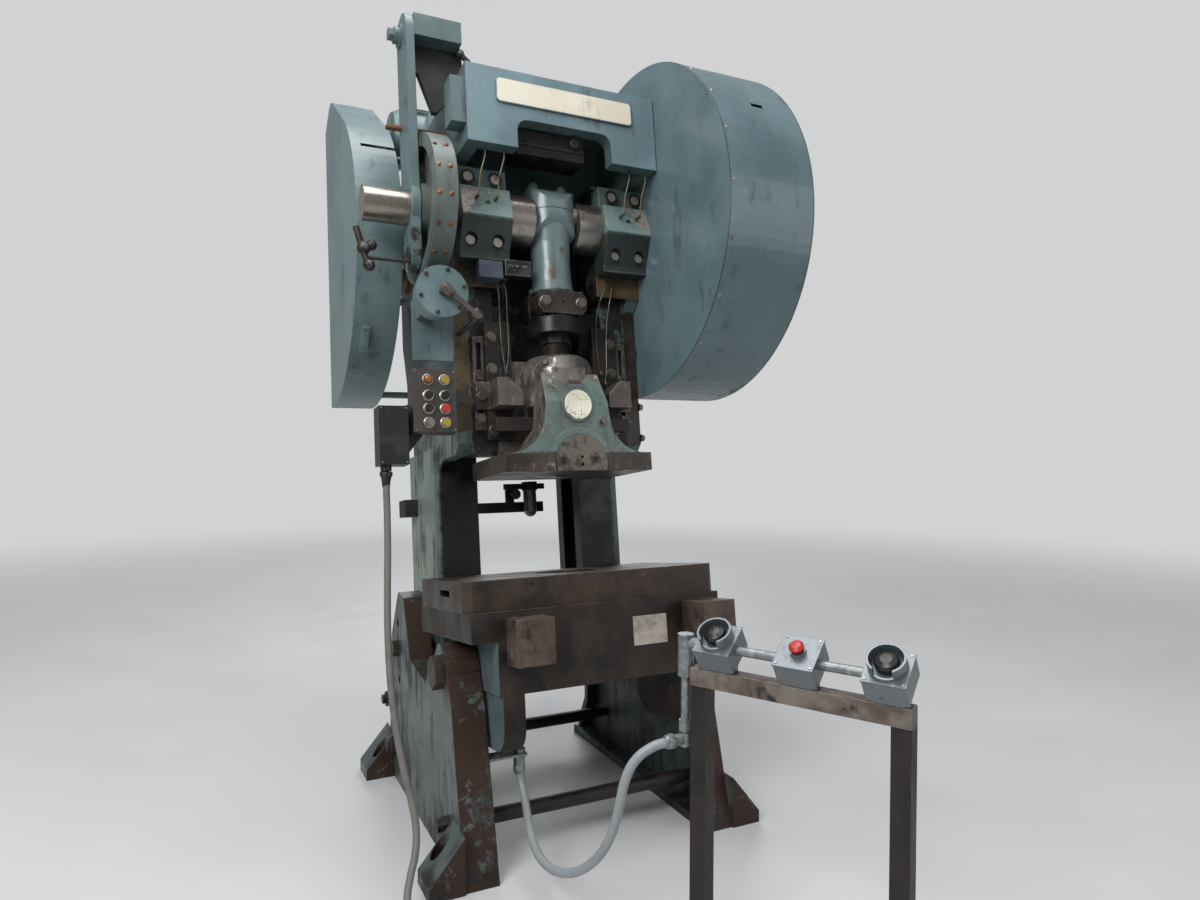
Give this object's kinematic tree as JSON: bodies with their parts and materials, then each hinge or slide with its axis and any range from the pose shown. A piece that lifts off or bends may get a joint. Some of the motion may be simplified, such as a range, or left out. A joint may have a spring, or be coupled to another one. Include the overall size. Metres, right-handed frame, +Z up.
{
  "type": "mechanical stamping press",
  "caption": "Open-back inclinable stamping press with a gap frame between two cast legs, a geared crankshaft, a flywheel under its guard and a two-hand control stand.",
  "frame": {"origin": "on the floor, midway between the four anchor bolts", "axes": "+X to the right of the press seen from the operator, +Y to its back, +Z up"},
  "size_m": [1.8563, 3.1154, 3.1122],
  "materials": {
    "band_rust": "rusty band with riveted lining",
    "belt": "dusty rubber",
    "black_paint": "black paint",
    "bright_steel": "polished with light oil",
    "bronze": "bearing bronze",
    "brown_iron": "oil-stained worn iron",
    "button_black": "moulded",
    "button_red": "moulded",
    "button_yellow": "moulded",
    "copper": "dull copper tube",
    "dark_iron": "oily bare iron",
    "dark_steel": "dark stand paint",
    "galvanised": "grey cast boxes",
    "grey_cord": "grey sheath",
    "machine_steel": "dull and oily",
    "press_green": "worn machine enamel"
  },
  "bodies": {
    "base": {"left_leg": "press_green", "right_leg": "press_green", "tie_rods": "dark_iron", "pivot_bolts": "dark_iron", "lock_bolts": "dark_iron", "stand_frame": "dark_steel", "station_boxes": "galvanised", "rigid_conduit": "machine_steel", "flexible_conduit": "grey_cord", "supply_cable": "grey_cord", "supply_coil": "grey_cord"},
    "frame": {"main_frame": "press_green", "bolster_plate": "brown_iron", "crank_bushings": "bronze", "bearing_caps": "press_green", "cap_bolts": "machine_steel", "gib_plates": "dark_iron", "frame_bolts": "machine_steel", "stop_bars": "machine_steel", "stop_blocks": "machine_steel", "oil_reservoir": "black_paint", "oil_tubes": "copper", "brake_band": "band_rust", "brake_cylinder": "press_green", "hanger_arm": "press_green", "arm_bracket": "black_paint", "backshaft_bearings": "bronze", "motor": "press_green", "drive_belts": "belt", "gear_guard_side": "press_green", "gear_guard_rim": "press_green", "flywheel_guard": "press_green", "control_box": "press_green", "junction_box": "black_paint", "air_unit": "machine_steel"},
    "crank": {"crankshaft": "bright_steel", "brake_drum": "machine_steel", "air_clutch": "machine_steel"},
    "connecting_rod": {"pitman": "press_green", "pitman_cap": "press_green", "clamp_cap": "dark_iron", "clamp_bolts": "machine_steel", "adjusting_screw": "dark_iron"},
    "ram": {"ram": "press_green", "shank_clamp": "brown_iron"},
    "knockout": {"knockout_bar": "dark_iron"},
    "gear": {"main_gear": "dark_iron"},
    "backshaft": {"backshaft": "machine_steel", "flywheel": "machine_steel"},
    "motor_rotor": {"motor_sheave": "dark_iron"},
    "button_key_body": {"button_key": "button_yellow"},
    "button_black_body": {"button_black": "button_black"},
    "button_red_body": {"button_red": "button_red"},
    "button_yellow_body": {"button_yellow": "button_yellow"},
    "selector_top_body": {"selector_top": "button_black"},
    "selector_middle_body": {"selector_middle": "button_black"},
    "selector_low_body": {"selector_low": "machine_steel"},
    "palm_button_left_body": {"palm_button_left": "button_black"},
    "palm_button_right_body": {"palm_button_right": "button_black"},
    "stop_button_body": {"stop_button": "button_red"}
  },
  "joints": [
    {"name": "frame_incline", "type": "hinge", "parent": "base", "child": "frame", "pos_m": [0, -0.29537, 0.64994], "axis": [-1, 0, 0], "range_deg": [-8, 17]},
    {"name": "crank_turn", "type": "hinge", "parent": "frame", "child": "crank", "pos_m": [0, -0.01283, 2.3441], "axis": [-1, 0, 0], "range_deg": [0, 180]},
    {"name": "pitman_swing", "type": "hinge", "parent": "crank", "child": "connecting_rod", "pos_m": [0, -0.00754, 2.38173], "axis": [-1, 0, 0], "range_deg": [-180, 0]},
    {"name": "ram_stroke", "type": "slide", "parent": "frame", "child": "ram", "axis": [0, -0.1392, -0.9903], "range_m": [0, 0.0765]},
    {"name": "knockout_lift", "type": "slide", "parent": "ram", "child": "knockout", "axis": [0, 0.1392, 0.9903], "range_m": [0, 0.036]},
    {"name": "gear_turn", "type": "hinge", "parent": "frame", "child": "gear", "pos_m": [0, -0.01283, 2.3441], "axis": [-1, 0, 0], "continuous": true},
    {"name": "backshaft_turn", "type": "hinge", "parent": "frame", "child": "backshaft", "pos_m": [0, 0.78192, 2.2526], "axis": [-1, 0, 0], "continuous": true},
    {"name": "motor_turn", "type": "hinge", "parent": "frame", "child": "motor_rotor", "pos_m": [0, 0.80548, 2.88549], "axis": [-1, 0, 0], "continuous": true},
    {"name": "button_key_push", "type": "slide", "parent": "frame", "child": "button_key_body", "axis": [0, 0.9903, -0.1392], "range_m": [0, 0.005], "stiffness_N_per_m": 600, "springref_m": -0.003},
    {"name": "button_black_push", "type": "slide", "parent": "frame", "child": "button_black_body", "axis": [0, 0.9903, -0.1392], "range_m": [0, 0.005], "stiffness_N_per_m": 600, "springref_m": -0.003},
    {"name": "button_red_push", "type": "slide", "parent": "frame", "child": "button_red_body", "axis": [0, 0.9903, -0.1392], "range_m": [0, 0.005], "stiffness_N_per_m": 600, "springref_m": -0.003},
    {"name": "button_yellow_push", "type": "slide", "parent": "frame", "child": "button_yellow_body", "axis": [0, 0.9903, -0.1392], "range_m": [0, 0.005], "stiffness_N_per_m": 600, "springref_m": -0.003},
    {"name": "selector_top_turn", "type": "hinge", "parent": "frame", "child": "selector_top_body", "pos_m": [-0.557, -0.24951, 1.63009], "axis": [0, -0.9903, 0.1392], "range_deg": [-45, 45]},
    {"name": "selector_middle_turn", "type": "hinge", "parent": "frame", "child": "selector_middle_body", "pos_m": [-0.557, -0.25605, 1.58355], "axis": [0, -0.9903, 0.1392], "range_deg": [-45, 45]},
    {"name": "selector_low_turn", "type": "hinge", "parent": "frame", "child": "selector_low_body", "pos_m": [-0.557, -0.26301, 1.53404], "axis": [0, -0.9903, 0.1392], "range_deg": [-45, 45]},
    {"name": "palm_button_left_push", "type": "slide", "parent": "base", "child": "palm_button_left_body", "axis": [0.5078, 0.2666, -0.8192], "range_m": [0, 0.005], "stiffness_N_per_m": 1500, "springref_m": -0.004},
    {"name": "palm_button_right_push", "type": "slide", "parent": "base", "child": "palm_button_right_body", "axis": [0.5078, 0.2666, -0.8192], "range_m": [0, 0.005], "stiffness_N_per_m": 1500, "springref_m": -0.004},
    {"name": "stop_button_push", "type": "slide", "parent": "base", "child": "stop_button_body", "axis": [0.5078, 0.2666, -0.8192], "range_m": [0, 0.005], "stiffness_N_per_m": 1500, "springref_m": -0.004}
  ],
  "couplings": [
    {"joint": "pitman_swing", "follows": "crank_turn", "ratio": -1},
    {"joint": "ram_stroke", "follows": "crank_turn", "m_per_rad": 0.024192},
    {"joint": "backshaft_turn", "follows": "gear_turn", "ratio": -4},
    {"joint": "motor_turn", "follows": "gear_turn", "ratio": -30.857}
  ]
}
